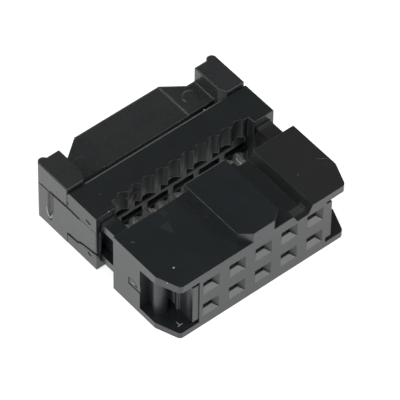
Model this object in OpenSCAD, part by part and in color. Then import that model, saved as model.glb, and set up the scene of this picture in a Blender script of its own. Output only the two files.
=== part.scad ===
// Ribbon-cable socket with cable cover and strain relief, in millimetres.
// X runs along the rows, the pin face looks to -Y and the key is up (+Z).

/* [Rows] */
// distance between neighbouring pins along a row
pitch = 2.54; // [2.5:0.01:2.7]
// distance between the two rows of pins
row_pitch = 2.54; // [2.4:0.01:2.7]
// distance between the two rows of wire forks
fork_row_pitch = 1; // [0.95:0.01:1.05]

/* [Housing] */
// height of the housing without its key
body_h = 6; // [5.8:0.05:6.6]
// length from the pin face to the back of the wings
body_len = 7; // [6.8:0.05:7.8]
// reach of each wing beyond the core
wing_reach = 2.3; // [2.1:0.05:3]
// plastic beside the outermost contact chamber
side_wall = 0.62; // [0.5:0.01:0.8]
// sideways size of the cut-off front corners
corner_x = 0.8; // [0.4:0.05:1.2]
// lengthwise size of the cut-off front corners
corner_y = 2.05; // [1.2:0.05:2.6]
// rounding of the front corners
corner_r = 0.4; // [0.2:0.05:0.6]
// thickness of the lower wing plate
lower_plate_t = 0.6; // [0.45:0.05:0.7]
// thickness of the upper wing plate at the front
upper_plate_t = 0.7; // [0.5:0.05:0.8]
// growth of the upper wing plate towards the back
upper_plate_draft = 0.25; // [0:0.05:0.3]
// depth of the end pockets from the front
pocket_len = 3.85; // [3.4:0.05:4]

/* [Pin face] */
// thickness of the plate with the pin holes
face_t = 1; // [0.9:0.05:1.2]
// width of a pin hole at the face
hole_w = 1.6; // [1.4:0.02:1.8]
// height of a pin hole at the face
hole_h = 1.42; // [1.2:0.02:1.6]
// side of the square throat behind the lead-in
throat = 0.82; // [0.74:0.02:0.9]
// depth of the lead-in
lead_in = 0.42; // [0.3:0.02:0.6]
// reach of the face plate's tongues past the core
tongue_reach = 0.3; // [0.2:0.02:0.5]
// thickness of the tongues
tongue_t = 0.78; // [0.5:0.02:0.85]
// set-back of the tongues behind the pin face
tongue_set_back = 0.08; // [0.04:0.01:0.14]
// height of the slits above and below a tongue
slit_above = 0.38; // [0.2:0.02:0.5]
// depth of those slits into the core
slit_in = 0.3; // [0.1:0.02:0.4]

/* [Key and top face] */
// width of the polarising key
key_w = 4; // [3.6:0.05:4.4]
// height of the key above the top face
key_h = 1; // [0.8:0.05:1.2]
// sideways size of the key's front corner cuts
key_cut_x = 1; // [0.6:0.05:1.3]
// lengthwise size of the key's front corner cuts
key_cut_y = 0.8; // [0.5:0.05:1.2]
// distance of the top groove's middle from the key's side
groove_off = 1.84; // [1.6:0.02:2.1]
// width of the top groove at the surface
groove_w = 1.92; // [1.6:0.02:2.1]
// width of the top groove at its floor
groove_floor_w = 1.08; // [0.8:0.02:1.3]
// depth of the top groove
groove_d = 0.78; // [0.5:0.02:0.85]
// width of the first-pin mark
mark_w = 0.86; // [0.6:0.02:1.2]
// length of the first-pin mark
mark_len = 1.15; // [0.8:0.05:1.4]
// distance of the first-pin mark from the housing's back
mark_back = 1.45; // [1.2:0.05:1.8]
// depth of the first-pin mark
mark_d = 0.04; // [0.03:0.01:0.08]

/* [End pockets and neck] */
// radius of the round column in a pocket
column_r = 0.6; // [0.5:0.01:0.65]
// distance of the column's middle from the pocket's inner wall
column_out = 1.08; // [1:0.01:1.15]
// distance of the column's middle from the pocket's back wall
column_back = 0.93; // [0.85:0.01:0.95]
// width of the thin rib in a pocket
rib_w = 0.3; // [0.2:0.02:0.36]
// distance of the thin rib's middle from the pocket's back wall
rib_back = 1.75; // [1.65:0.01:1.95]
// height of the thin rib above the pocket wall
rib_h = 0.2; // [0.1:0.02:0.3]
// width of the raised pad on the pocket's back wall
pad_w = 1.31; // [1.2:0.01:1.4]
// height of the raised pad on the pocket's back wall
pad_t = 0.37; // [0.34:0.01:0.42]
// length of the latch notch in the wing's end
notch_len = 1.35; // [1.1:0.05:1.5]
// height of the latch notch in the wing's end
notch_h = 0.8; // [0.6:0.02:1]
// depth of the latch notch in the wing's end
notch_d = 0.05; // [0.03:0.01:0.08]
// distance of the latch notch's middle below the housing's middle
notch_drop = 0.3; // [0.1:0.02:0.5]
// distance of the neck from the wing's end
neck_set_in = 0.56; // [0.54:0.02:0.66]
// length of the neck behind the wings
neck_len = 2.5; // [2.3:0.05:2.6]
// thickness of each neck plate
neck_t = 0.75; // [0.6:0.05:0.85]
// distance of the neck plates from the housing's top and underside
neck_cover = 0.82; // [0.75:0.01:0.9]

/* [Contacts] */
// width of a contact chamber
chamber_w = 1.6; // [1.5:0.02:1.7]
// height of a contact chamber
chamber_h = 1.44; // [1.2:0.02:1.5]
// thickness of the contact strip
strip_t = 0.3; // [0.24:0.02:0.36]
// free gap between the two contact points
point_gap = 0.5; // [0.4:0.02:0.58]
// radius of a contact point
point_r = 0.3; // [0.26:0.02:0.36]
// distance of the contact points from the beams' free ends
point_y = 0.7; // [0.5:0.02:0.9]
// width of one receptacle beam
beam_w = 0.26; // [0.2:0.02:0.3]
// room between the two receptacle beams
beam_gap = 0.74; // [0.7:0.02:0.8]
// length of the receptacle beams
beam_len = 3.2; // [2.9:0.05:3.4]
// room between the beams' free ends and the face plate
beam_room = 0.3; // [0.2:0.02:0.4]
// length of the receptacle's base
base_len = 0.7; // [0.6:0.02:0.8]
// width of the bent strip between receptacle and fork
jog_w = 0.76; // [0.6:0.02:0.9]
// length of the bent strip between receptacle and fork
jog_len = 0.6; // [0.5:0.02:0.7]
// width of the wire fork
fork_w = 1.22; // [1.16:0.01:1.24]
// distance between the fork's two tips
tip_span = 1.14; // [1.05:0.01:1.15]
// length of the sharpened outer edge at the tips
tip_len = 0.16; // [0.1:0.02:0.24]
// reach of the fork behind the housing
fork_reach = 2.2; // [2:0.05:2.3]
// depth of the fork's open mouth
mouth_len = 0.5; // [0.4:0.02:0.6]
// width of the wire slot
wire_slot_w = 0.28; // [0.24:0.02:0.34]
// depth of the wire slot below the housing's back
wire_slot_in = 0.3; // [0.2:0.02:0.4]

/* [Cover] */
// room between wings and open cover
open_gap = 2.17; // [2:0.01:2.4]
// room between wings and shut cover
shut_gap = 0.07; // [0.05:0.01:0.1]
// length of the cover
cover_len = 3.48; // [3.3:0.01:3.9]
// width of the rebate along the cover's upper back edge
rebate_w = 0.17; // [0.1:0.01:0.25]
// depth of the rebate along the cover's upper back edge
rebate_d = 0.2; // [0.1:0.01:0.3]
// depth of the recess beside the guide legs
recess_d = 0.6; // [0.5:0.05:0.7]
// distance of the cover's ends from the wing's ends
cover_set_in = 0.12; // [0.08:0.01:0.16]
// distance of the cover's top below the housing's top
cover_drop = 0.1; // [0.05:0.01:0.15]
// distance of the cover's underside above the housing's
cover_lift = 0.05; // [0.02:0.01:0.1]
// set-back of the wire comb behind the cover's ends
comb_set_back = 0.68; // [0.6:0.02:0.8]
// slant of the end blocks' inner corners
comb_slant = 0.08; // [0:0.01:0.12]
// radius of a wire groove
wire_r = 0.64; // [0.6:0.01:0.68]
// depth of a wire groove below the comb's ridges
wire_d = 0.31; // [0.28:0.01:0.34]
// flat field above and below the fork windows
field_edge = 0.05; // [0.02:0.01:0.1]
// room beside a fork in its window
window_room = 0.37; // [0.3:0.01:0.4]
// height of a fork window
window_h = 0.66; // [0.6:0.01:0.7]
// room behind the fork tips when the cover is shut
window_deep = 0.15; // [0.1:0.01:0.25]
// plastic between the comb and the guide legs
guide_wall = 0.24; // [0.2:0.01:0.35]
// thickness of the cover's guide legs
guide_t = 0.62; // [0.55:0.01:0.66]
// reach of the guide legs into the wings when open
guide_grip = 0.4; // [0.3:0.05:0.6]
// sharpening of the guide legs' tips
guide_tip = 0.2; // [0.1:0.02:0.3]

/* [Strain relief] */
// room between the cover and the end blocks
relief_gap = 0.05; // [0.03:0.01:0.08]
// height of the end blocks above the housing's top
block_rise = 0.1; // [0.05:0.01:0.3]
// length of the end blocks
block_len = 3.5; // [3.3:0.05:3.8]
// width of the end blocks with the flat side
block_w = 2.03; // [1.9:0.01:2.2]
// sideways size of the blocks' cut inner corners
block_cut_x = 0.4; // [0.2:0.02:0.6]
// lengthwise size of the blocks' cut inner corners
block_cut_y = 0.72; // [0.4:0.02:0.9]
// thickness of the flat sides and their legs
side_t = 0.5; // [0.46:0.01:0.54]
// extra length of the flat sides behind the blocks
side_extra = 0.3; // [0.2:0.02:0.5]
// rounding of the flat sides' back corners
side_r = 0.42; // [0.2:0.01:0.44]
// distance of the legs' front ends from the cover's front
side_front = 0.02; // [0.01:0.01:0.1]
// distance of the legs' upper edges from the neck plates
top_edge = 0.18; // [0.16:0.01:0.22]
// fall of the legs' upper edges towards the blocks' back
top_fall = 0.29; // [0.2:0.01:0.34]
// distance of the legs' lower edges from the neck plates
low_edge = 0.28; // [0.24:0.01:0.36]
// thickness of the outer lip under the legs
lip_t = 0.28; // [0.22:0.01:0.3]
// fall of that lip's lower edge up to the step
lip_fall = 0.33; // [0.25:0.01:0.36]
// room under the lip in the cover's seat
lip_gap = 0.17; // [0.12:0.01:0.2]
// distance of the lip's step from the leg's front end
lip_len = 1.92; // [1.7:0.02:2.1]
// step in the lower edge of the legs
side_step = 0.63; // [0.56:0.01:0.68]
// length of that step
side_step_run = 0.35; // [0.25:0.01:0.45]
// plastic between that step and the neck's pocket
side_step_wall = 0.1; // [0.06:0.01:0.2]
// radius of the latch nub inside a leg
nub_r = 0.25; // [0.2:0.01:0.28]
// length of the latch nub inside a leg
nub_len = 0.9; // [0.6:0.02:1.2]
// distance of the latch nub from the leg's front end
nub_y = 1.1; // [0.8:0.02:1.4]
// height of the bar's upper face above the housing's middle
bar_rise = 1.6; // [1.4:0.05:1.8]
// thickness of the bar
bar_t = 3.2; // [2.8:0.05:3.4]
// length of the bar along the cable
bar_len = 2.45; // [2.3:0.05:2.6]
// distance of the tab's root from the end blocks
tab_inset = 0.8; // [0.6:0.02:1]
// slant of the tab's sides
tab_slant = 1.78; // [1.4:0.02:2]
// reach of the tab behind the bar
tab_reach = 1.35; // [1:0.05:1.7]
// distance of the sunken panel from the end blocks
panel_inset = 2.55; // [2.3:0.05:2.8]
// depth of the sunken panel
panel_d = 0.08; // [0.05:0.01:0.1]
// diameter of the round moulding marks on the bar
pad_d = 1.28; // [1:0.02:1.5]
// distance of the round moulding marks from the bar's back
pad_back = 1.07; // [1:0.01:1.2]
// height of the round moulding marks
pad_h = 0.04; // [0.02:0.01:0.06]
// radius of the upright groove in the end blocks
groove_side_r = 0.26; // [0.22:0.01:0.3]
// length of the upright groove in the end blocks
groove_side_h = 3; // [2.6:0.05:3.1]
// depth of the upright groove in the end blocks
groove_side_d = 0.16; // [0.1:0.01:0.2]
// distance of the upright groove from the blocks' front
groove_side_y = 2.07; // [1.8:0.01:2.3]
// height and depth of the mould's parting line
seam = 0.14; // [0.1:0.01:0.18]

/* [Fits] */
// sliding room round the guide legs and the neck
slide_fit = 0.06; // [0.05:0.01:0.08]
// room round pieces that stay in their seats
seat_fit = 0.04; // [0.03:0.01:0.05]
// room above the side legs in the cover
leg_fit = 0.02; // [0.01:0.01:0.04]

/* [Hidden] */
$fn = 48;
eps = 0.01;
out = 2;
columns = 5;
mid_z = body_h / 2;
row_half = (columns - 1) * pitch / 2;
core_half = row_half + chamber_w / 2 + side_wall;
wing_half = core_half + wing_reach;
face_half = wing_half - corner_x;
groove_x = key_w / 2 + groove_off;
pocket_top = body_h - upper_plate_t;
beam_y = face_t + beam_room;
base_y = beam_y + beam_len;
jog_y = base_y + base_len;
fork_y = jog_y + jog_len;
fork_dx = pitch / 4;
fork_dz = (row_pitch - fork_row_pitch) / 2;
tip_y = body_len + fork_reach;
travel = open_gap - shut_gap;
window_w = fork_w + 2 * window_room;
comb_half = row_half + fork_dx + window_w / 2;
guide_in = comb_half + guide_wall;
guide_out = guide_in + guide_t;
neck_half = wing_half - neck_set_in;
slot_h = body_h - 2 * neck_cover - 2 * neck_t;
cover_half = wing_half - cover_set_in;
cover_y = body_len + open_gap;
cover_back = cover_y + cover_len;
cover_top = body_h - cover_drop;
comb_y = cover_y + comb_set_back;
valley_y = comb_y + wire_d;
field_h = fork_row_pitch + window_h + 2 * field_edge;
neck_room_end = body_len + neck_len + travel + slide_fit;
block_y = cover_back + relief_gap;
block_back = block_y + block_len;
block_h = body_h + block_rise;
block_in = cover_half - block_w;
side_in = cover_half - side_t;
side_y = cover_y + side_front;
side_top = mid_z + slot_h / 2 - top_edge;
side_low = mid_z - slot_h / 2 + low_edge;
top_slope = top_fall / (block_back - side_y);
step_y = neck_room_end + side_step_wall;
lip_y = side_y + lip_len;
lip_slope = lip_fall / lip_len;
groove_y = block_y + groove_side_y;
groove_axis = cover_half + groove_side_r - groove_side_d;
seam_back = block_back + side_extra - side_r;
bar_top = mid_z + bar_rise;
tab_half = block_in - tab_inset;
panel_half = block_in - panel_inset;
overall_y = block_back + tab_reach;

// a box given by its two opposite corners
module span(low, high) {
  translate(low)
    cube(high - low);
}

// a Y-Z profile drawn out along X
module along_x(x0, x1) {
  translate([x0, 0, 0])
    rotate([90, 0, 90])
      linear_extrude(x1 - x0)
        children();
}

// an X-Z profile drawn out along Y
module along_y(y0, y1) {
  translate([0, y1, 0])
    rotate([90, 0, 0])
      linear_extrude(y1 - y0)
        children();
}

// an X-Y profile drawn out along Z
module along_z(z0, z1) {
  translate([0, 0, z0])
    linear_extrude(z1 - z0)
      children();
}

// the same solid at both ends of the part
module both_ends() {
  children();
  mirror([1, 0, 0])
    children();
}

// moves the drawing, whose zero is the pin face, to the middle of the part
module placed() {
  translate([0, -overall_y / 2, 0])
    children();
}

function column_x(i) = (i - (columns - 1) / 2) * pitch;

// height of the side legs' upper edge
function leg_top(y) = side_top - top_slope * (y - side_y);

function unit(v) = v / norm(v);

// where a corner's rounding leaves the side towards the next point
function round_start(at, next, other, r) =
  at + unit(next - at) * r / tan(acos(unit(next - at) * unit(other - at)) / 2);

// middle of a corner's rounding
function round_middle(at, next, other, r) =
  at + unit(unit(next - at) + unit(other - at)) * r / sin(acos(unit(next - at) * unit(other - at)) / 2);

// mouth, lead-in and throat of one line of pin holes, cut along the line
module hole_line(mouth) {
  slope = (mouth - throat) / 2 / lead_in;
  polygon([
    [-mouth / 2 - slope * eps, -eps],
    [mouth / 2 + slope * eps, -eps],
    [throat / 2, lead_in],
    [throat / 2, face_t + eps],
    [-throat / 2, face_t + eps],
    [-throat / 2, lead_in]]);
}

// all pin holes: upright slots crossed with level ones
module pin_holes() {
  intersection() {
    for (i = [0 : columns - 1])
      translate([column_x(i), 0, 0])
        along_z(eps, body_h - eps)
          hole_line(hole_w);
    for (s = [-1, 1])
      translate([0, 0, mid_z + s * row_pitch / 2])
        along_x(-core_half, core_half)
          rotate(90)
            mirror([0, 1])
              hole_line(hole_h);
  }
}

// puts a contact or its room at one column of the upper or the lower row
module at_contact(i, upper) {
  translate([column_x(i), 0, mid_z + (upper ? 1 : -1) * row_pitch / 2])
    rotate([0, upper ? 0 : 180, 0])
      children();
}

// chamber and back slot of one contact, about its pin axis
module contact_room() {
  span([-chamber_w / 2, face_t, -chamber_h / 2], [chamber_w / 2, jog_y, chamber_h / 2]);
  span([-fork_dx - fork_w / 2 - seat_fit, jog_y - eps, -fork_dz - strip_t / 2 - seat_fit],
    [jog_w / 2 + seat_fit, body_len + eps, strip_t / 2 + seat_fit]);
}

// wing outline from above, with rounded front corners
module wing_outline() {
  for (s = [-1, 1]) {
    front = [s * face_half, 0];
    side = [s * wing_half, corner_y];
    middle = [0, 0];
    rear = [s * wing_half, body_len];
    polygon([
      middle,
      round_start(front, middle, side, corner_r),
      round_start(front, side, middle, corner_r),
      round_start(side, front, rear, corner_r),
      round_start(side, rear, front, corner_r),
      rear,
      [0, body_len]]);
    translate(round_middle(front, middle, side, corner_r))
      circle(r = corner_r);
    translate(round_middle(side, front, rear, corner_r))
      circle(r = corner_r);
  }
}

// end pocket between the two wing plates: column, rib, pad and face tongue are left standing
module end_pocket() {
  difference() {
    along_x(core_half - slit_in, wing_half + out)
      polygon([
        [-out, lower_plate_t],
        [pocket_len, lower_plate_t],
        [pocket_len, pocket_top - upper_plate_draft],
        [0, pocket_top],
        [-out, pocket_top]]);
    span([core_half - slit_in - eps, tongue_t, 0], [core_half, pocket_len + eps, body_h]);
    span([core_half - slit_in - eps, tongue_set_back, lower_plate_t + slit_above],
      [core_half + tongue_reach, tongue_t + eps, pocket_top - slit_above]);
    translate([core_half + column_out, pocket_len - column_back, 0])
      cylinder(r = column_r, h = body_h);
    span([core_half - eps, pocket_len - rib_back - rib_w / 2, 0],
      [core_half + rib_h, pocket_len - rib_back + rib_w / 2, body_h]);
    span([core_half - eps, pocket_len - pad_t, 0], [core_half + pad_w, pocket_len + eps, body_h]);
  }
}

// blind guide slot of one cover leg in the wing
module guide_slot() {
  span([guide_in - slide_fit, body_len - guide_grip - travel - slide_fit, mid_z - slot_h / 2],
    [guide_out + slide_fit, body_len + eps, mid_z + slot_h / 2]);
}

// upper and lower neck plate beside a cover leg, or the room for them
module neck_plates(y0, y1, room) {
  for (s = [-1, 1])
    span([guide_in - room, y0, mid_z + s * (slot_h + neck_t) / 2 - neck_t / 2 - room],
      [neck_half + room, y1, mid_z + s * (slot_h + neck_t) / 2 + neck_t / 2 + room]);
}

// polarising key with its cut front corners
module key() {
  along_z(body_h - eps, body_h + key_h)
    polygon([
      [-key_w / 2 + key_cut_x, 0],
      [key_w / 2 - key_cut_x, 0],
      [key_w / 2, key_cut_y],
      [key_w / 2, body_len],
      [-key_w / 2, body_len],
      [-key_w / 2, key_cut_y]]);
}

module socket_housing() {
  slope = (groove_w - groove_floor_w) / 2 / groove_d;
  color([0.03, 0.03, 0.035])
    placed()
      difference() {
        union() {
          along_z(0, body_h)
            wing_outline();
          key();
          both_ends()
            neck_plates(body_len - eps, body_len + neck_len, 0);
        }
        both_ends()
          end_pocket();
        both_ends()
          guide_slot();
        pin_holes();
        for (i = [0 : columns - 1])
          for (upper = [true, false])
            at_contact(i, upper)
              contact_room();
        translate([groove_x, 0, body_h])
          along_y(-out, body_len + out)
            polygon([
              [-groove_floor_w / 2, -groove_d],
              [groove_floor_w / 2, -groove_d],
              [groove_w / 2 + slope * eps, eps],
              [-groove_w / 2 - slope * eps, eps]]);
        both_ends()
          span([wing_half - notch_d, pocket_len - eps, mid_z - notch_drop - notch_h / 2],
            [wing_half + out, pocket_len + notch_len, mid_z - notch_drop + notch_h / 2]);
        translate([column_x(0), body_len - mark_back, 0])
          along_z(body_h - mark_d, body_h + out)
            polygon([[-mark_w / 2, 0], [mark_w / 2, 0], [0, -mark_len]]);
      }
}

// outline of one flat side leg, or of its seat, seen from the end
module side_profile(front, back, step, slope, above, below) {
  polygon([
    [front, side_low - slope * (front - side_y) - below],
    [step, side_low - slope * (step - side_y) - below],
    [step + side_step_run, side_low - side_step - below],
    [back, side_low - side_step - below],
    [back, leg_top(back) + above],
    [front, leg_top(front) + above]]);
}

// latch nub inside one side leg, or its dimple
module side_nub(room) {
  translate([side_in, side_y + nub_y, mid_z - nub_len / 2 - room])
    cylinder(r = nub_r + room, h = nub_len + 2 * room);
}

// guide leg of the cover with its sharpened tip
module guide_leg() {
  along_z(mid_z - slot_h / 2 + slide_fit, mid_z + slot_h / 2 - slide_fit)
    polygon([
      [guide_in + guide_tip, body_len - guide_grip],
      [guide_out - guide_tip, body_len - guide_grip],
      [guide_out, body_len],
      [guide_out, cover_y + eps],
      [guide_in, cover_y + eps],
      [guide_in, body_len]]);
}

module cable_cover() {
  color([0.03, 0.03, 0.035])
    placed()
      difference() {
        union() {
          span([-cover_half, cover_y, cover_lift], [cover_half, cover_back, cover_top]);
          both_ends()
            guide_leg();
        }
        along_z(-out, body_h + out)
          polygon([
            [-comb_half - comb_slant, cover_y - out],
            [comb_half + comb_slant, cover_y - out],
            [comb_half + comb_slant, cover_y],
            [comb_half, comb_y],
            [-comb_half, comb_y],
            [-comb_half - comb_slant, cover_y]]);
        for (k = [0 : 2 * columns - 1])
          translate([(k - columns + 0.5) * pitch / 2, valley_y - wire_r, -out])
            cylinder(r = wire_r, h = body_h + 2 * out);
        span([-comb_half, comb_y - eps, mid_z - field_h / 2], [comb_half, valley_y, mid_z + field_h / 2]);
        for (i = [0 : columns - 1])
          for (s = [-1, 1])
            translate([column_x(i) - s * fork_dx, 0, mid_z + s * fork_row_pitch / 2])
              span([-window_w / 2, comb_y, -window_h / 2],
                [window_w / 2, tip_y + travel + window_deep, window_h / 2]);
        both_ends()
          neck_plates(cover_y - eps, neck_room_end, slide_fit);
        both_ends()
          span([guide_out, cover_y - eps, mid_z - slot_h / 2], [side_in, cover_y + recess_d, mid_z + slot_h / 2]);
        span([-cover_half - eps, cover_back - rebate_w, cover_top - rebate_d],
          [cover_half + eps, cover_back + eps, cover_top + eps]);
        both_ends()
          along_x(side_in - seat_fit, cover_half + out)
            side_profile(cover_y - out, cover_back + out, step_y, 0, leg_fit, seat_fit);
        both_ends()
          along_x(cover_half - lip_t - seat_fit, cover_half + out)
            side_profile(cover_y - out, cover_back + out, lip_y, lip_slope, leg_fit, lip_gap);
        both_ends()
          side_nub(seat_fit);
      }
}

// end block with its flat outer side, seen from above
module block_outline() {
  polygon([
    [block_in + block_cut_x, block_y],
    [cover_half, block_y],
    [cover_half, block_back],
    [block_in, block_back],
    [block_in, block_y + block_cut_y]]);
  translate([side_in, block_back - eps])
    square([side_t - side_r, side_extra + eps]);
  translate([side_in, block_back - side_r])
    square([side_t, side_extra]);
  translate([cover_half - side_r, block_back + side_extra - side_r])
    circle(r = side_r);
}

// low bar with the tab, seen from above
module bar_outline() {
  polygon([
    [-block_in - eps, block_back - bar_len],
    [block_in + eps, block_back - bar_len],
    [block_in + eps, block_back],
    [tab_half, block_back],
    [tab_half - tab_slant, block_back + tab_reach],
    [-tab_half + tab_slant, block_back + tab_reach],
    [-tab_half, block_back],
    [-block_in - eps, block_back]]);
}

module strain_relief() {
  color([0.03, 0.03, 0.035])
    placed()
      difference() {
        union() {
          both_ends()
            along_z(0, block_h)
              block_outline();
          both_ends()
            along_x(side_in, cover_half)
              side_profile(side_y, block_y + eps, step_y, 0, 0, 0);
          both_ends()
            along_x(cover_half - lip_t, cover_half)
              side_profile(side_y, block_y + eps, lip_y, lip_slope, 0, 0);
          both_ends()
            side_nub(0);
          along_z(bar_top - bar_t, bar_top)
            bar_outline();
          both_ends()
            translate([(panel_half + block_in) / 2, block_back - pad_back, bar_top - eps])
              cylinder(d = pad_d, h = pad_h + eps);
        }
        span([-panel_half, block_y, bar_top - panel_d], [panel_half, overall_y + out, block_h]);
        both_ends()
          translate([groove_axis, groove_y, leg_top(groove_y) - groove_side_h]) {
            cylinder(r = groove_side_r, h = groove_side_h);
            sphere(r = groove_side_r);
          }
        both_ends()
          along_x(cover_half - seam, cover_half + out)
            polygon([
              [lip_y, leg_top(lip_y) - seam / 2],
              [seam_back, leg_top(seam_back) - seam / 2],
              [seam_back, leg_top(seam_back) + seam / 2],
              [lip_y, leg_top(lip_y) + seam / 2]]);
      }
}

// receptacle for one pin, flat as stamped
module receptacle() {
  half = beam_gap / 2 + beam_w;
  for (s = [-1, 1])
    intersection() {
      union() {
        translate([s * (beam_gap + beam_w) / 2 - beam_w / 2, beam_y])
          square([beam_w, beam_len + eps]);
        translate([s * (point_gap / 2 + point_r), beam_y + point_y])
          circle(r = point_r);
      }
      translate([-half, beam_y])
        square([2 * half, beam_len + eps]);
    }
  translate([-half, base_y])
    square([2 * half, base_len]);
}

// wire fork, flat as stamped
module fork() {
  translate([-fork_w / 2, fork_y])
    square([fork_dx + fork_w / 2 + jog_w / 2, body_len - wire_slot_in - fork_y]);
  for (s = [-1, 1])
    polygon([
      [s * fork_w / 2, body_len - wire_slot_in - eps],
      [s * wire_slot_w / 2, body_len - wire_slot_in - eps],
      [s * wire_slot_w / 2, tip_y - mouth_len],
      [s * tip_span / 2, tip_y],
      [s * fork_w / 2, tip_y - tip_len]]);
}

// bent strip from the receptacle's plane to the fork's plane
module jog() {
  polygon([
    [jog_y - base_len / 2, strip_t / 2],
    [jog_y + strip_t / 4, strip_t / 2],
    [fork_y + strip_t / 4, strip_t / 2 - fork_dz],
    [fork_y + strip_t, strip_t / 2 - fork_dz],
    [fork_y + strip_t, -strip_t / 2 - fork_dz],
    [fork_y - strip_t / 4, -strip_t / 2 - fork_dz],
    [jog_y - strip_t / 4, -strip_t / 2],
    [jog_y - base_len / 2, -strip_t / 2]]);
}

module contact(i, upper) {
  color([0.78, 0.7, 0.52])
    placed()
      at_contact(i, upper)
        union() {
          along_z(-strip_t / 2, strip_t / 2)
            receptacle();
          along_x(-jog_w / 2, jog_w / 2)
            jog();
          translate([-fork_dx, 0, -fork_dz])
            along_z(-strip_t / 2, strip_t / 2)
              fork();
        }
}

socket_housing();
cable_cover();
strain_relief();
contact(0, true);  // contact_upper_1
contact(1, true);  // contact_upper_2
contact(2, true);  // contact_upper_3
contact(3, true);  // contact_upper_4
contact(4, true);  // contact_upper_5
contact(0, false);  // contact_lower_1
contact(1, false);  // contact_lower_2
contact(2, false);  // contact_lower_3
contact(3, false);  // contact_lower_4
contact(4, false);  // contact_lower_5
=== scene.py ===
import math

import bmesh
import bpy
from bpy.props import FloatProperty, FloatVectorProperty, PointerProperty
from mathutils import Matrix, Vector, noise


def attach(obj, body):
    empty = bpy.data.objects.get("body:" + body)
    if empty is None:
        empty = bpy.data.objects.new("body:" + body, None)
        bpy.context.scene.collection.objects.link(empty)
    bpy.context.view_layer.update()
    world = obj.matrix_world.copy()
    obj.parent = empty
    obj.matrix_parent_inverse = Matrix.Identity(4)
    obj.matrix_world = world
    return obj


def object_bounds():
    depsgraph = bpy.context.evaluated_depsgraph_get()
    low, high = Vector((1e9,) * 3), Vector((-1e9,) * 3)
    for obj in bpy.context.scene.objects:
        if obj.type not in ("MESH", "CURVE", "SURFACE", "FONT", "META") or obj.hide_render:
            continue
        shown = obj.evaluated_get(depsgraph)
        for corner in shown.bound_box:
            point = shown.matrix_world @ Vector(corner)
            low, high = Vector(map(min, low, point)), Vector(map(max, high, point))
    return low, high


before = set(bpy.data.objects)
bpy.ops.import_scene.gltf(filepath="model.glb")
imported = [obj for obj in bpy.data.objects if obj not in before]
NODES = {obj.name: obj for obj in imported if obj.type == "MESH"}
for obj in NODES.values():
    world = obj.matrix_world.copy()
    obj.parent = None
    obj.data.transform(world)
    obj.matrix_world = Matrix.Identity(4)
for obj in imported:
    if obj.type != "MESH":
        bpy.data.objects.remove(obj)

bl_info = {
    "name": "Ribbon Cable Socket",
    "version": (1, 0, 0),
    "blender": (4, 5, 0),
    "location": "3D View > Sidebar > Socket",
    "description": "Dresses a ribbon-cable socket with its finishes, in a white studio",
    "category": "Object",
}

CAD_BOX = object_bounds()
CONTACTS = sorted(name for name in NODES if name.startswith("contact_"))
MM = 0.001


# Zones and marks


def at_both_ends(*zones):
    """Zones of the left end, and the same zones mirrored to the right end."""
    return zones + tuple(((-high[0], *low[1:]), (-low[0], *high[1:]), value)
                         for low, high, value in zones)


def on_end(x, *points):
    """Points on an end face at x, each given as y and z in mm."""
    return tuple((x, y, z) for y, z in points)


# A zone is a box in the plastic: its low and high corner in mm, and a value.
# Duller skin, with the roughness added: end pockets, first contact's mark and the rubbed patch
# behind it, lead-ins of the pin holes, cut corners of the key; wire comb of the cover
HOUSING_MATT = (
    *at_both_ends(((-8.7, -8.4, 0.64), (-6.1, -4.9, 5.25), 0.18)),
    ((-6.2, -4.2, 5.5), (-4.2, -1.95, 5.995), 0.16),
    ((-4.66, -2.62, 5.98), (-4.12, -2.02, 6.05), 0.065),
    ((-6.2, -8.77, 0.5), (6.2, -8.3, 5.5), 0.06),
    *at_both_ends(((-2.05, -8.765, 6.02), (-1.0, -7.98, 6.99), 0.07)))
COVER_MATT = (((-7.0, -4.0, 0.5), (7.0, 1.75, 5.86), 0.14),)
# Painted light: greyer skin, with the share of grey, that stands in for light and gloss: ribs in
# the end pockets, throats of the pin holes; front ends of the relief's legs
HOUSING_PAINTED_LIGHT = (
    *at_both_ends(((-6.75, -6.27, 0.6), (-6.4, -5.99, 5.2), 0.6),
                  ((-6.75, -6.9, 0.6), (-6.4, -6.68, 5.2), 0.3),
                  ((-7.25, -5.99, 0.6), (-6.4, -5.2, 5.2), 0.3)),
    ((-6.2, -8.3, 0.5), (6.2, -7.6, 5.5), 0.1))
RELIEF_PAINTED_LIGHT = at_both_ends(((-8.42, 0.3, 1.7), (-8.15, 0.5, 4.15), 0.24))
# Sharper edges, with the share of the edge rounding taken off: the housing up to the key's rim;
# ends of the cover; left pad of the relief
HOUSING_CRISP = (
    ((-2.35, -9.0, 6.05), (2.35, 0.0, 6.7), 0.97),
    ((-2.35, -8.3, 5.95), (2.35, 0.0, 6.05), 0.22),
    ((-2.35, -9.0, -1.0), (2.35, 0.0, 6.05), 0.75),
    *at_both_ends(((-9.0, -9.0, -1.0), (-2.35, 0.0, 7.0), 0.75)))
COVER_CRISP = at_both_ends(((-9.0, -2.0, -1.0), (-8.45, 9.0, 7.0), 0.85))
RELIEF_CRISP = (((-7.6, 4.0, 4.0), (-4.4, 9.0, 7.0), 0.8),)

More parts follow.
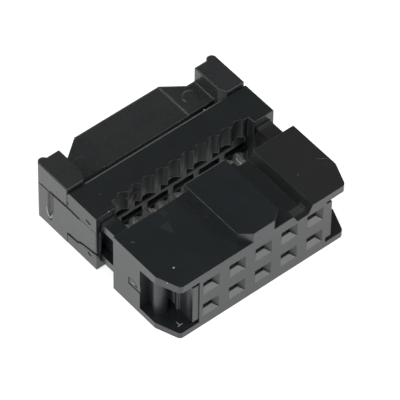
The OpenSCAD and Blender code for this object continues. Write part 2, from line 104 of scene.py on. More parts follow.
# Grains of dust and small scuffs: x, y, z, length and width in mm, and turn in degrees
HOUSING_DUST = (
    (-7.18, -6.91, 6.0, 0.15, 0.13, 20),
    (-8.72, -5.94, 5.97, 0.18, 0.11, 90),
    (-8.46, -7.72, 5.97, 0.09, 0.07, 60),
    (-8.74, -4.0, 5.97, 0.1, 0.07, 90),
    (-8.765, -4.12, 2.74, 0.03, 0.14, 0))
HOUSING_SCUFFS = (
    (-7.99, -3.08, 6.0, 0.3, 0.08, -40),
    (5.84, -5.8, 6.0, 0.12, 0.09, 0),
    (8.36, -5.74, 6.0, 0.14, 0.08, -35))
COVER_DUST = (
    (-7.45, 0.43, 5.89, 0.1, 0.07, 0),
    (4.61, 3.8, 5.88, 0.12, 0.08, 0))
COVER_SCUFFS = (
    (-6.89, 2.19, 5.9, 0.12, 0.09, 10),
    (-5.6, 0.6, 5.89, 0.12, 0.08, 30))

# Threads of lint and a long scratch: points in mm
HOUSING_LINT = (
    ((-7.52, -7.7, 0.62), (-7.51, -7.9, 0.64), (-7.52, -8.1, 0.62)),
    ((-7.26, -8.1, 0.62), (-7.5, -8.04, 0.64), (-7.69, -8.14, 0.62)))
HOUSING_SCRATCHES = (
    ((7.97, -5.43, 6.0), (8.2, -5.6, 6.0), (8.3, -5.74, 6.0), (8.52, -5.84, 6.0),
     (8.72, -6.03, 6.0)),)
# Grey flakes of plastic left in the wire comb: points in mm
COVER_FLAKES = (
    ((-4.81, 1.26, 4.52), (-4.45, 1.37, 4.78), (-4.19, 1.31, 4.96), (-4.01, 1.18, 5.09)),
    ((-4.01, 1.18, 5.06), (-4.12, 1.27, 4.42), (-4.2, 1.32, 3.95)),
    ((-1.3, 1.06, 4.5), (-0.98, 1.28, 4.34), (-0.65, 1.37, 3.98), (-0.39, 1.32, 3.92)))

# Where threads lie on the left end, as x in mm: the end faces of the cover and the relief, the
# relief's groove and the housing's latch notch
COVER_END = -8.69
GROOVE = -8.67
NOTCH = -8.757
# Painted shade: dark threads laid in the seams, on both ends of the cover
SEAMS = (
    ((6.06, 3.98), (5.04, 4.07), (3.92, 4.16), (3.13, 4.13), (2.51, 4.09)),
    ((3.89, 1.07), (3.29, 1.13), (2.65, 1.18), (2.33, 1.44), (1.38, 1.63), (0.41, 1.86)))
SEAM_SHADE = tuple(on_end(x, *seam) for x in (COVER_END, -COVER_END) for seam in SEAMS)
# Dark marks on the left end of the cover; painted shade along the edge of the left groove and along
# the edges of the left latch notch
COVER_MARKS_AND_SHADE = (
    on_end(COVER_END, (3.84, 4.76), (3.83, 4.58)),
    on_end(COVER_END, (1.62, 4.8), (1.36, 4.68), (1.12, 4.64)),
    on_end(COVER_END, (1.4, 1.22), (1.22, 0.98), (1.06, 1.08)),
    on_end(GROOVE, (5.66, 3.9), (5.66, 1.9)))
NOTCH_SHADE = (
    on_end(NOTCH, (-3.66, 3.03), (-4.5, 3.05)),
    on_end(NOTCH, (-4.36, 2.72), (-4.5, 2.58)))
# Painted highlight: a pale U round the foot of the left groove, in place of the gloss on the
# groove's concave end
GROOVE_HIGHLIGHT = (
    on_end(COVER_END, (6.44, 1.96), (6.37, 1.54), (6.24, 1.2), (6.02, 1.05), (5.8, 1.2),
           (5.72, 1.62)),)

# Lint and dirt materials, and those of painted shade and painted highlight: darkest and palest
# colour
LINT = {
    "Pale lint": ((0.5, 0.5, 0.48), (0.85, 0.85, 0.83)),
    "Dull scuff": ((0.07, 0.07, 0.07), (0.13, 0.13, 0.13)),
    # Painted highlight: pale colour of the U in the groove
    "Painted highlight": ((0.5, 0.5, 0.5), (0.8, 0.8, 0.8)),
    # Painted shade: near-black colour of the threads in the seams, the notch and the groove; also
    # of dark marks
    "Dark marks and painted shade": ((0.004, 0.004, 0.004), (0.008, 0.008, 0.008)),
}
# Pieces of grains: name, body, grains and material
GRAINS = (
    ("dust_on_housing", "housing", HOUSING_DUST, "Pale lint"),
    ("dust_on_cover", "cover", COVER_DUST, "Pale lint"),
    ("scuffs_on_housing", "housing", HOUSING_SCUFFS, "Dull scuff"),
    ("scuffs_on_cover", "cover", COVER_SCUFFS, "Dull scuff"))
# Pieces of threads: name, body, threads, thickness in mm and material
THREADS = (
    ("lint_on_housing", "housing", HOUSING_LINT, 0.035, "Pale lint"),
    ("scratch_on_housing", "housing", HOUSING_SCRATCHES, 0.03, "Dull scuff"),
    # Painted shade: dark lines along the edges of the latch notch
    ("painted_shade_in_notch", "housing", NOTCH_SHADE, 0.08, "Dark marks and painted shade"),
    # Painted shade: dark threads in the seams
    ("painted_shade_in_seams", "cover", SEAM_SHADE, 0.09, "Dark marks and painted shade"),
    # Dark marks, and painted shade along the groove's edge
    ("marks_and_painted_shade_on_cover", "cover", COVER_MARKS_AND_SHADE, 0.07, "Dark marks and painted shade"),
    # Painted highlight round the foot of the groove
    ("painted_highlight_in_groove", "cover", GROOVE_HIGHLIGHT, 0.08, "Painted highlight"),
    ("flakes_on_cover", "cover", COVER_FLAKES, 0.06, "Dull scuff"))


# Fixed values of the finishes


# Darkest and palest tone of a moulding, as shares of its colour
TONES = (0.86, 1.16)
# Tint of the cover, as a share of the plastic colour
COVER_TINT = 0.86
# Painted light: the housing's lighter colour towards its right end, in place of the brighter gloss
# there, and the stretch of x over which it comes in
RIGHT_PAINTED_LIGHT = (0.0242, 0.0248, 0.0244)
RIGHT_FROM, RIGHT_TO = 0.0015, 0.006
# Greys of rub marks and fine dust, and the grey of painted light in the lit zones
RUB_GREY = (0.09, 0.09, 0.092)
DUST_GREY = (0.42, 0.42, 0.41)
PAINTED_LIGHT_GREY = (0.4, 0.4, 0.4)
# Cells of the fine dust per metre, the share that may hold a grain, and grain sizes in a cell
DUST_CELLS = 790.0
DUSTY_SHARE = 0.2
GRAIN_LEAST, GRAIN_SPREAD = 0.012, 0.035
# Roughness that a grain of fine dust adds
DUST_ROUGHNESS = 0.4
# Density and strength of the rub marks, the noise level at which one starts, and its contrast
RUB_SCALE, RUB_AMOUNT = 260.0, 0.12
RUB_LEVEL, RUB_CONTRAST = 0.68, 9.0
# Spread of roughness over a skin
SKIN_SPREAD = 0.1
# Height of the grain as a share of its size
GRAIN_HEIGHT = 0.35
PLASTIC_IOR = 1.58
EDGE_SAMPLES = 8
# Rolling marks of the contact strip: share in the roughness, least roughness, strength, depth
ROLL_ROUGHNESS, ROLL_LEAST = 1.3, 0.08
ROLL_STRENGTH, ROLL_DEPTH = 0.4, 0.00003
# How ragged a grain is, and how fine its raggedness
RAGGED, RAGGED_SCALE = 0.35, 40000


# Fixed values of the stage


# Half the floor's side, and its drop below the socket, which keeps the two apart
FLOOR_HALF = 1.5
FLOOR_DROP = 0.00002
# Grey of the room's horizon, the heights between which it fades to the ceiling, the ceiling's
# blue tint, and where and how fast the horizon sinks towards the right
HORIZON_GREY = 0.95
HORIZON_TOP, CEILING_FOOT = 0.34, 0.6
CEILING_TINT = 1.04
SINK_FROM, SINK_RATE = 0.55, 1.6
# Lamps: name, direction from the socket, distance, sides and radiance
LAMPS = (
    ("front_softbox", (0.43, -0.58, 0.7), 0.6, (0.27, 0.245), 5.1),
    ("left_softbox", (-0.75, -0.05, 0.66), 0.7, (0.7, 0.6), 1.6),
    ("right_softbox", (0.8, -0.35, 0.5), 0.8, (0.5, 0.4), 0.85),
    ("left_strip", (-0.12, 0.49, 0.86), 0.7, (0.15, 0.15), 8.0),
    ("back_strip", (0.43, 0.88, 0.2), 0.8, (0.3, 0.12), 2.0))
LAMP_AIM = Vector((0, 0, 0.003))
# The point that the camera looks at, its sensor's width in mm and its clipping distances
VIEW_TARGET = Vector((0.2242, -1.0647, 2.94)) * MM
SENSOR_WIDTH = 36.0
CLIP_START, CLIP_END = 0.01, 20.0


# Settings


class SocketPlastic(bpy.types.PropertyGroup):
    """Look of the black moulded pieces."""

    colour: FloatVectorProperty(
        name="Plastic colour", description="Body colour of the black moulding compound",
        subtype="COLOR", size=3, min=0, max=1, default=(0.0165, 0.0202, 0.0219))
    relief_colour: FloatVectorProperty(
        name="Relief colour", description="Body colour of the strain relief's greyer compound",
        subtype="COLOR", size=3, min=0, max=1, default=(0.0285, 0.0308, 0.0313))
    roughness: FloatProperty(
        name="Roughness", description="Roughness of the moulded skin",
        subtype="FACTOR", min=0, max=1, default=0.24)
    grain: FloatProperty(
        name="Grain size", description="Size of the mould's fine grain",
        subtype="DISTANCE", unit="LENGTH", min=0.00001, max=0.001, default=0.00009)
    grain_depth: FloatProperty(
        name="Grain strength", description="Strength of the fine grain in the surface",
        subtype="FACTOR", min=0, max=1, default=0.06)
    edge: FloatProperty(
        name="Edge rounding", description="Radius that the mould leaves on outer edges",
        subtype="DISTANCE", unit="LENGTH", min=0, max=0.0003, default=0.0001)
    dust: FloatProperty(
        name="Dust", description="Amount of fine pale dust on the plastic",
        subtype="FACTOR", min=0, max=1, default=0.06)


class SocketMetal(bpy.types.PropertyGroup):
    """Look of the stamped contacts."""

    colour: FloatVectorProperty(
        name="Plating colour", description="Colour of the plated contact strip",
        subtype="COLOR", size=3, min=0, max=1, default=(0.75, 0.75, 0.74))
    flash: FloatVectorProperty(
        name="Flash colour", description="Colour of the warm flash on the plating",
        subtype="COLOR", size=3, min=0, max=1, default=(0.72, 0.71, 0.66))
    roughness: FloatProperty(
        name="Roughness", description="Roughness of the rolled strip",
        subtype="FACTOR", min=0, max=1, default=0.34)
    edge: FloatProperty(
        name="Edge rounding", description="Radius that stamping leaves on the strip's edges",
        subtype="DISTANCE", unit="LENGTH", min=0, max=0.0001, default=0.00007)


class SocketStage(bpy.types.PropertyGroup):
    """Floor, room light and camera."""

    floor_colour: FloatVectorProperty(
        name="Floor colour", description="Colour of the paper under the socket",
        subtype="COLOR", size=3, min=0, max=1, default=(0.86, 0.86, 0.86))
    floor_glow: FloatProperty(
        name="Floor glow",
        description="Light added to the paper where the camera or a gloss sees it",
        min=0, max=1, default=0.69)
    ceiling: FloatProperty(
        name="Ceiling light", description="Light of the room above the lamps",
        min=0, max=1, default=0.06)
    azimuth: FloatProperty(
        name="View azimuth", description="Direction of the camera round the socket, in degrees",
        min=-180, max=180, default=-40.33)
    elevation: FloatProperty(
        name="View elevation", description="Height of the camera above the horizon, in degrees",
        min=-90, max=90, default=49.531)
    roll: FloatProperty(
        name="View roll", description="Turn of the camera about its own axis, in degrees",
        min=-45, max=45, default=0.97)
    distance: FloatProperty(
        name="View distance", description="Distance from the camera to the point it looks at",
        subtype="DISTANCE", unit="LENGTH", min=0.05, max=5, default=0.348)
    lens: FloatProperty(
        name="Lens", description="Focal length on a 36 mm sensor, in millimetres",
        min=10, max=1000, default=412.87)


# Nodes


def feed(tree, socket, value):
    """Set a socket to a plain value, or link it to another socket."""
    if hasattr(value, "is_output"):
        tree.links.new(value, socket)
    else:
        socket.default_value = value


def add_node(tree, kind, inputs=None, **settings):
    """A node with its settings; its inputs, by name or number, take values or sockets."""
    node = tree.nodes.new(kind)
    for key, value in settings.items():
        setattr(node, key, value)
    for key, value in (inputs or {}).items():
        feed(tree, node.inputs[key], value)
    return node


def math_node(tree, operation, *values, clamp=False):
    """The result of a Math node whose values are numbers or sockets."""
    node = add_node(tree, "ShaderNodeMath", dict(enumerate(values)),
                    operation=operation, use_clamp=clamp)
    return node.outputs[0]


def mix_colour(tree, factor, first, second):
    """The mix of two colours, which are colours or sockets."""
    pair = [value if hasattr(value, "is_output") else (*value, 1.0) for value in (first, second)]
    node = add_node(tree, "ShaderNodeMix", {0: factor, 6: pair[0], 7: pair[1]}, data_type="RGBA")
    return node.outputs[2]


def object_place(tree):
    """The place on the object, in metres."""
    return add_node(tree, "ShaderNodeTexCoord").outputs["Object"]


def empty_tree(owner):
    """The node tree of a material or world, with nothing in it."""
    owner.use_nodes = True
    owner.node_tree.nodes.clear()
    return owner.node_tree


# Shader groups


def start_group(name, inputs, outputs):
    """A shader group with inputs given with their defaults, and value outputs given by name."""
    group = bpy.data.node_groups.new(name, "ShaderNodeTree")
    for label, value in inputs.items():
        kind = "NodeSocketFloat" if isinstance(value, float) else "NodeSocketVector"
        socket = group.interface.new_socket(label, in_out="INPUT", socket_type=kind)
        socket.default_value = value
    for label in outputs:
        group.interface.new_socket(label, in_out="OUTPUT", socket_type="NodeSocketFloat")
    return group, add_node(group, "NodeGroupInput").outputs


def moulded_skin_group():
    """Fine grain and slow gloss changes of a moulded surface."""
    group, given = start_group(
        "Moulded skin", {"Scale": 11000.0, "Roughness": 0.3, "Spread": 0.08},
        ("Height", "Roughness", "Tone"))
    place = object_place(group)
    fine = add_node(group, "ShaderNodeTexNoise", {
        "Vector": place, "Scale": given["Scale"], "Detail": 3.0, "Roughness": 0.6}).outputs[0]
    slow = add_node(group, "ShaderNodeTexNoise", {
        "Vector": place, "Scale": 420.0, "Detail": 4.0, "Roughness": 0.55}).outputs[0]
    changes = []
    for cloud in (slow, fine):
        centred = math_node(group, "SUBTRACT", cloud, 0.5)
        changes.append(math_node(group, "MULTIPLY", centred, given["Spread"]))
    both = math_node(group, "ADD", *changes)
    rough = math_node(group, "ADD", given["Roughness"], both, clamp=True)
    add_node(group, "NodeGroupOutput", {"Height": fine, "Roughness": rough, "Tone": slow})
    return group


def dust_group():
    """Sparse pale grains lying on a surface."""
    group, given = start_group("Dust and lint", {"Amount": 0.5, "Cells": 900.0}, ("Mask",))
    cells = add_node(group, "ShaderNodeTexVoronoi", {
        "Vector": object_place(group), "Scale": given["Cells"], "Randomness": 1.0})
    tone = add_node(group, "ShaderNodeSeparateColor", {0: cells.outputs["Color"]})
    limit = math_node(group, "MULTIPLY", given["Amount"], DUSTY_SHARE)
    chosen = math_node(group, "LESS_THAN", tone.outputs[0], limit)
    size = math_node(group, "MULTIPLY_ADD", tone.outputs[1], GRAIN_SPREAD, GRAIN_LEAST)
    spot = math_node(group, "LESS_THAN", cells.outputs["Distance"], size)
    mask = math_node(group, "MULTIPLY", chosen, spot)
    add_node(group, "NodeGroupOutput", {"Mask": mask})
    return group


def rub_lines_group():
    """Short fine rub marks, dense along one direction."""
    group, given = start_group("Rub marks", {"Scale": 300.0, "Amount": 0.2}, ("Mask",))
    turn = add_node(group, "ShaderNodeMapping", {
        "Vector": object_place(group), "Rotation": (0.3, 0.2, 0.65), "Scale": (0.6, 18.0, 18.0)})
    streak = add_node(group, "ShaderNodeTexNoise", {
        "Vector": turn.outputs[0], "Scale": given["Scale"], "Detail": 2.0})
    low = math_node(group, "SUBTRACT", streak.outputs[0], RUB_LEVEL)
    line = math_node(group, "MULTIPLY", low, RUB_CONTRAST, clamp=True)
    mask = math_node(group, "MULTIPLY", line, given["Amount"])
    add_node(group, "NodeGroupOutput", {"Mask": mask})
    return group


def zone_group():
    """Mask of a box between its low and its high corner."""
    group, given = start_group("Zone", {"Low": (0.0, 0.0, 0.0), "High": (1.0, 1.0, 1.0)}, ("Mask",))
    spot, low, high = (add_node(group, "ShaderNodeSeparateXYZ", {0: source}).outputs
                       for source in (object_place(group), given["Low"], given["High"]))
    mask = None
    for i, value in enumerate(spot):
        above = math_node(group, "GREATER_THAN", value, low[i])
        below = math_node(group, "LESS_THAN", value, high[i])
        both = math_node(group, "MULTIPLY", above, below)
        mask = both if mask is None else math_node(group, "MULTIPLY", mask, both)
    add_node(group, "NodeGroupOutput", {"Mask": mask})
    return group


GROUPS = {"Moulded skin": moulded_skin_group, "Dust and lint": dust_group,
          "Rub marks": rub_lines_group, "Zone": zone_group}


def place_group(tree, name, **values):
    """The outputs of a shared group in a material, with its own input values."""
    shared = bpy.data.node_groups.get(name) or GROUPS[name]()
    return add_node(tree, "ShaderNodeGroup", values, node_tree=shared).outputs


def zone_masks(tree, zones):
    """The mask and the value of each zone."""
    for low, high, value in zones:
        zone = place_group(tree, "Zone", Low=Vector(low) * MM, High=Vector(high) * MM)
        yield zone["Mask"], value


# Materials


def new_material(name):
    """An empty node material with a Principled BSDF."""
    material = bpy.data.materials.new(name)
    tree = empty_tree(material)
    shader = add_node(tree, "ShaderNodeBsdfPrincipled")
    add_node(tree, "ShaderNodeOutputMaterial", {"Surface": shader.outputs[0]})
    return material, tree, shader


def black_moulding(name, finish, colour, right=None, edge=1.0, rough=0.0, grain=1.0,
                   matt=(), crisp=(), painted_light=()):
    """Black filled plastic: grained skin, slow tone changes, rub marks and a little dust.

    right is the colour towards the right end, painted lighter as painted light. edge and grain
    multiply the finish's edge rounding and grain strength, and rough is added to its roughness.
    matt, crisp and painted_light are zones with a duller skin, sharper edges and a greyer skin of
    painted light.
    """
    material, tree, shader = new_material(name)
    skin = place_group(tree, "Moulded skin", Scale=1.0 / finish.grain,
                       Roughness=finish.roughness + rough, Spread=SKIN_SPREAD)
    dust = place_group(tree, "Dust and lint", Amount=finish.dust, Cells=DUST_CELLS)["Mask"]
    rub = place_group(tree, "Rub marks", Scale=RUB_SCALE, Amount=RUB_AMOUNT)["Mask"]

    dark, pale = (tuple(c * share for c in colour) for share in TONES)
    body = mix_colour(tree, skin["Tone"], dark, pale)
    # Painted light: the body colour lightens towards the right end
    if right:
        spot = add_node(tree, "ShaderNodeSeparateXYZ", {0: object_place(tree)})
        share = add_node(tree, "ShaderNodeMapRange", {
            0: spot.outputs["X"], "From Min": RIGHT_FROM, "From Max": RIGHT_TO},
            interpolation_type="SMOOTHSTEP")
        body = mix_colour(tree, share.outputs[0], body, right)
    body = mix_colour(tree, rub, body, RUB_GREY)
    body = mix_colour(tree, dust, body, DUST_GREY)
    # Painted light: greyer skin in the zones that stand in for light and gloss
    for mask, share in zone_masks(tree, painted_light):
        body = mix_colour(tree, math_node(tree, "MULTIPLY", mask, share), body, PAINTED_LIGHT_GREY)
    feed(tree, shader.inputs["Base Color"], body)

    dull = math_node(tree, "MULTIPLY_ADD", dust, DUST_ROUGHNESS, skin["Roughness"], clamp=True)
    for mask, more in zone_masks(tree, matt):
        dull = math_node(tree, "MULTIPLY_ADD", mask, more, dull, clamp=True)
    feed(tree, shader.inputs["Roughness"], dull)

    full = finish.edge * edge
    radius = full
    for mask, less in zone_masks(tree, crisp):
        radius = math_node(tree, "MULTIPLY_ADD", mask, -less * full, radius)
    rounding = add_node(tree, "ShaderNodeBevel", {"Radius": radius}, samples=EDGE_SAMPLES)
    bump = add_node(tree, "ShaderNodeBump", {
        "Height": skin["Height"], "Normal": rounding.outputs[0],
        "Strength": finish.grain_depth * grain, "Distance": finish.grain * GRAIN_HEIGHT})
    feed(tree, shader.inputs["Normal"], bump.outputs[0])
    shader.inputs["IOR"].default_value = PLASTIC_IOR
    return material


def plated_strip(name, finish):
    """Rolled contact strip: pale plating, a warm flash and rolling marks along the strip."""
    material, tree, shader = new_material(name)
    turn = add_node(tree, "ShaderNodeMapping", {
        "Vector": object_place(tree), "Scale": (14.0, 1.0, 14.0)})
    rolled = add_node(tree, "ShaderNodeTexNoise", {
        "Vector": turn.outputs[0], "Scale": 900.0, "Detail": 3.0}).outputs[0]
    skin = place_group(tree, "Moulded skin", Scale=9000.0, Roughness=finish.roughness,
                       Spread=SKIN_SPREAD)
    colour = mix_colour(tree, skin["Tone"], finish.colour, finish.flash)
    feed(tree, shader.inputs["Base Color"], colour)
    streak = math_node(tree, "SUBTRACT", rolled, 0.5)
    rough = math_node(tree, "MULTIPLY_ADD", streak, ROLL_ROUGHNESS, skin["Roughness"])
    rough = math_node(tree, "MAXIMUM", rough, ROLL_LEAST)
    feed(tree, shader.inputs["Roughness"], rough)
    rounding = add_node(tree, "ShaderNodeBevel", {"Radius": finish.edge}, samples=EDGE_SAMPLES)
    bump = add_node(tree, "ShaderNodeBump", {
        "Height": rolled, "Normal": rounding.outputs[0],
        "Strength": ROLL_STRENGTH, "Distance": ROLL_DEPTH})
    feed(tree, shader.inputs["Normal"], bump.outputs[0])
    shader.inputs["Metallic"].default_value = 1.0
    return material


def lint_material(name, dark, pale):
    """Dust, lint, dirt, painted shade and painted highlight between two colours."""
    material, tree, shader = new_material(name)
    skin = place_group(tree, "Moulded skin", Scale=30000.0, Roughness=0.75, Spread=0.2)
    feed(tree, shader.inputs["Base Color"], mix_colour(tree, skin["Tone"], dark, pale))
    feed(tree, shader.inputs["Roughness"], skin["Roughness"])
    return material


def paper_material(look):
    """White paper: lit and shadowed as paper, with its own glow for the camera and for gloss."""
    material = bpy.data.materials.new("White paper")
    tree = empty_tree(material)
    paper = add_node(tree, "ShaderNodeBsdfDiffuse", {"Color": (*look.floor_colour, 1.0)})
    path = add_node(tree, "ShaderNodeLightPath").outputs
    seen = math_node(tree, "MAXIMUM", path["Is Camera Ray"], path["Is Glossy Ray"])
    seen = math_node(tree, "MAXIMUM", seen, path["Is Transmission Ray"])
    strength = math_node(tree, "MULTIPLY", seen, look.floor_glow)
    glow = add_node(tree, "ShaderNodeEmission", {"Strength": strength})
    both = add_node(tree, "ShaderNodeAddShader", {0: paper.outputs[0], 1: glow.outputs[0]})
    clear = add_node(tree, "ShaderNodeBsdfTransparent")
    under = add_node(tree, "ShaderNodeNewGeometry")
    choose = add_node(tree, "ShaderNodeMixShader", {
        0: under.outputs["Backfacing"], 1: both.outputs[0], 2: clear.outputs[0]})
    add_node(tree, "ShaderNodeOutputMaterial", {"Surface": choose.outputs[0]})
    return material


# Shapes


def dress(name, material):
    """Give one CAD node one material on every face."""
    node = NODES[name]
    node.data.materials.clear()
    node.data.materials.append(material)


def dust_grains(name, body, grains, material):
    """Flat ragged grains at x, y, z in mm, each with its length, width and turn in degrees."""
    work = bmesh.new()
    for x, y, z, length, width, turn in grains:
        spot = Vector((x, y, z)) * MM
        place = Matrix.Translation(spot) @ Matrix.Rotation(math.radians(turn), 4, "Z")
        size = Matrix.Diagonal((length / 2, width / 2, width / 4, 1 / MM)) * MM
        made = bmesh.ops.create_icosphere(work, subdivisions=2, radius=1.0, matrix=place @ size)
        for vert in made["verts"]:
            ragged = 1 + RAGGED * noise.noise(vert.co * RAGGED_SCALE)
            vert.co = place.translation + (vert.co - place.translation) * ragged
    mesh = bpy.data.meshes.new(name)
    work.to_mesh(mesh)
    work.free()
    mesh.materials.append(material)
    piece = bpy.data.objects.new(name, mesh)
    bpy.context.scene.collection.objects.link(piece)
    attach(piece, body)


def lint_threads(name, body, threads, thickness, material):
    """Thin threads, each a list of points in mm."""
    curve = bpy.data.curves.new(name, "CURVE")
    curve.dimensions = "3D"
    curve.bevel_depth = thickness / 2 * MM
    curve.bevel_resolution = 2
    curve.use_fill_caps = True
    for points in threads:
        line = curve.splines.new("NURBS")
        line.points.add(len(points) - 1)
        for spot, point in zip(line.points, points):
            spot.co = (*(Vector(point) * MM), 1)
        line.use_endpoint_u = True
        line.order_u = 3
    curve.materials.append(material)
    piece = bpy.data.objects.new(name, curve)
    bpy.context.scene.collection.objects.link(piece)
    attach(piece, body)


# Stage


def paper_floor(look):
    """A sheet of white paper just under the socket."""
    mesh = bpy.data.meshes.new("paper_floor")
    half = FLOOR_HALF
    mesh.from_pydata([(-half, -half, 0), (half, -half, 0), (half, half, 0), (-half, half, 0)],
                     [], [(0, 1, 2, 3)])
    floor = bpy.data.objects.new("paper_floor", mesh)
    floor.location.z = CAD_BOX[0].z - FLOOR_DROP
    mesh.materials.append(paper_material(look))
    bpy.context.scene.collection.objects.link(floor)


def room_world(look):
    """A white room for the camera; for light and gloss, a pale horizon under a dim ceiling."""
    world = bpy.data.worlds.new("Studio room")
    bpy.context.scene.world = world
    tree = empty_tree(world)
    place = add_node(tree, "ShaderNodeTexCoord")
    split = add_node(tree, "ShaderNodeSeparateXYZ", {0: place.outputs["Generated"]})
    aside = math_node(tree, "SUBTRACT", split.outputs["X"], SINK_FROM)
    lift = math_node(tree, "MULTIPLY", aside, SINK_RATE, clamp=True)
    height = math_node(tree, "ADD", split.outputs["Z"], lift)
    ramp = add_node(tree, "ShaderNodeValToRGB", {0: height})
    horizon, ceiling = ramp.color_ramp.elements
    horizon.position = HORIZON_TOP
    horizon.color = (HORIZON_GREY, HORIZON_GREY, HORIZON_GREY, 1)
    ceiling.position = CEILING_FOOT
    ceiling.color = (look.ceiling, look.ceiling, look.ceiling * CEILING_TINT, 1)
    room = add_node(tree, "ShaderNodeBackground", {"Color": ramp.outputs["Color"]})
    white = add_node(tree, "ShaderNodeBackground", {"Color": (1, 1, 1, 1)})
    path = add_node(tree, "ShaderNodeLightPath")
    choose = add_node(tree, "ShaderNodeMixShader", {
        0: path.outputs["Is Camera Ray"], 1: room.outputs[0], 2: white.outputs[0]})
    add_node(tree, "ShaderNodeOutputWorld", {"Surface": choose.outputs[0]})


def soft_lamp(name, direction, distance, size, radiance):
    """A soft lamp that faces the socket; radiance is what a mirror would see."""
    data = bpy.data.lights.new(name, "AREA")
    data.shape = "RECTANGLE"
    data.size, data.size_y = size
    data.energy = radiance * math.pi * size[0] * size[1]
    lamp = bpy.data.objects.new(name, data)
    bpy.context.scene.collection.objects.link(lamp)
    towards = Vector(direction).normalized()
    lamp.location = LAMP_AIM + towards * distance
    lamp.rotation_mode = "QUATERNION"
    lamp.rotation_quaternion = (-towards).to_track_quat("-Z", "Y")


def photo_camera(look):
    """The scene's camera, placed by its angles and rolled about its own axis."""
    camera = bpy.data.objects.new("photo_camera", bpy.data.cameras.new("photo_camera"))
    bpy.context.scene.collection.objects.link(camera)
    camera.data.lens = look.lens
    camera.data.sensor_width = SENSOR_WIDTH
    camera.data.clip_start, camera.data.clip_end = CLIP_START, CLIP_END
    azimuth, elevation, roll = (
        math.radians(angle) for angle in (look.azimuth, look.elevation, look.roll))
    back = Vector((math.sin(azimuth) * math.cos(elevation),
                   -math.cos(azimuth) * math.cos(elevation), math.sin(elevation)))
    right = (-back).cross(Vector((0, 0, 1))).normalized()
    up = right.cross(-back)
    turned = right * math.cos(roll) + up * math.sin(roll)
    raised = up * math.cos(roll) - right * math.sin(roll)
    axes = Matrix((turned, raised, back)).transposed().to_4x4()
    camera.matrix_world = Matrix.Translation(VIEW_TARGET + back * look.distance) @ axes
    bpy.context.scene.camera = camera


# Operators


class SOCKET_OT_dress_housing(bpy.types.Operator):
    """Finish the socket housing: black moulding with rounded mould edges"""

    bl_idname = "socket.dress_housing"
    bl_label = "Socket housing"

    def execute(self, context):
        finish = context.scene.socket_plastic
        skin = black_moulding("Black housing moulding", finish, finish.colour, RIGHT_PAINTED_LIGHT,
                              matt=HOUSING_MATT, crisp=HOUSING_CRISP, painted_light=HOUSING_PAINTED_LIGHT)
        dress("socket_housing", skin)
        return {"FINISHED"}


class SOCKET_OT_dress_cover(bpy.types.Operator):
    """Finish the cable cover: black moulding with the scalloped wire comb"""

    bl_idname = "socket.dress_cover"
    bl_label = "Cable cover"

    def execute(self, context):
        finish = context.scene.socket_plastic
        colour = tuple(c * COVER_TINT for c in finish.colour)
        skin = black_moulding("Black cover moulding", finish, colour, edge=1.4, rough=0.04,
                              matt=COVER_MATT, crisp=COVER_CRISP)
        dress("cable_cover", skin)
        return {"FINISHED"}


class SOCKET_OT_dress_relief(bpy.types.Operator):
    """Finish the strain relief: black moulding with the low bar and tab"""

    bl_idname = "socket.dress_relief"
    bl_label = "Strain relief"

    def execute(self, context):
        finish = context.scene.socket_plastic
        skin = black_moulding("Black relief moulding", finish, finish.relief_colour, edge=2.0,
                              rough=0.04, grain=0.5, crisp=RELIEF_CRISP, painted_light=RELIEF_PAINTED_LIGHT)
        dress("strain_relief", skin)
        return {"FINISHED"}


class SOCKET_OT_dress_contacts(bpy.types.Operator):
    """Finish the ten stamped contacts: plated strip with rolling marks"""

    bl_idname = "socket.dress_contacts"
    bl_label = "Contacts"

    def execute(self, context):
        material = plated_strip("Plated contact strip", context.scene.socket_metal)
        for name in CONTACTS:
            dress(name, material)
        return {"FINISHED"}


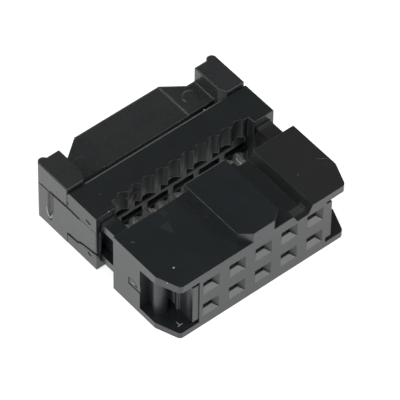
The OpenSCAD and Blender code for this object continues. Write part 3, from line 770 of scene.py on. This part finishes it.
class SOCKET_OT_scatter_lint(bpy.types.Operator):
    """Lay the grains, threads, scuffs and dirt that the socket has picked up, and the threads of
    painted shade and painted highlight
    """

    bl_idname = "socket.scatter_lint"
    bl_label = "Dust, lint and dirt"

    def execute(self, context):
        finishes = {name: lint_material(name, *tones) for name, tones in LINT.items()}
        for name, body, grains, finish in GRAINS:
            dust_grains(name, body, grains, finishes[finish])
        for name, body, threads, thickness, finish in THREADS:
            lint_threads(name, body, threads, thickness, finishes[finish])
        return {"FINISHED"}


class SOCKET_OT_build_stage(bpy.types.Operator):
    """Build the stage: white paper floor, soft lamps and the camera"""

    bl_idname = "socket.build_stage"
    bl_label = "Stage"

    def execute(self, context):
        look = context.scene.socket_stage
        context.scene.view_settings.view_transform = "Standard"
        paper_floor(look)
        room_world(look)
        for lamp in LAMPS:
            soft_lamp(*lamp)
        photo_camera(look)
        return {"FINISHED"}


class SOCKET_PT_panel(bpy.types.Panel):
    """Lists the pieces of the socket"""

    bl_idname = "SOCKET_PT_panel"
    bl_label = "Ribbon cable socket"
    bl_space_type = "VIEW_3D"
    bl_region_type = "UI"
    bl_category = "Socket"

    def draw(self, context):
        for operator in STEPS:
            self.layout.operator(operator.bl_idname)
        for group in SETTINGS:
            settings = getattr(context.scene, group)
            for key in settings.__annotations__:
                self.layout.prop(settings, key)


STEPS = (SOCKET_OT_dress_housing, SOCKET_OT_dress_cover, SOCKET_OT_dress_relief,
         SOCKET_OT_dress_contacts, SOCKET_OT_scatter_lint, SOCKET_OT_build_stage)
SETTINGS = {"socket_plastic": SocketPlastic, "socket_metal": SocketMetal,
            "socket_stage": SocketStage}


def register():
    for cls in (*SETTINGS.values(), *STEPS, SOCKET_PT_panel):
        bpy.utils.register_class(cls)
    for name, cls in SETTINGS.items():
        setattr(bpy.types.Scene, name, PointerProperty(type=cls))


def unregister():
    for name in SETTINGS:
        delattr(bpy.types.Scene, name)
    for cls in (SOCKET_PT_panel, *reversed(STEPS), *SETTINGS.values()):
        bpy.utils.unregister_class(cls)


def main():
    register()
    bpy.ops.socket.dress_housing()
    bpy.ops.socket.dress_cover()
    bpy.ops.socket.dress_relief()
    bpy.ops.socket.dress_contacts()
    bpy.ops.socket.scatter_lint()
    bpy.ops.socket.build_stage()


if __name__ == "__main__":
    main()
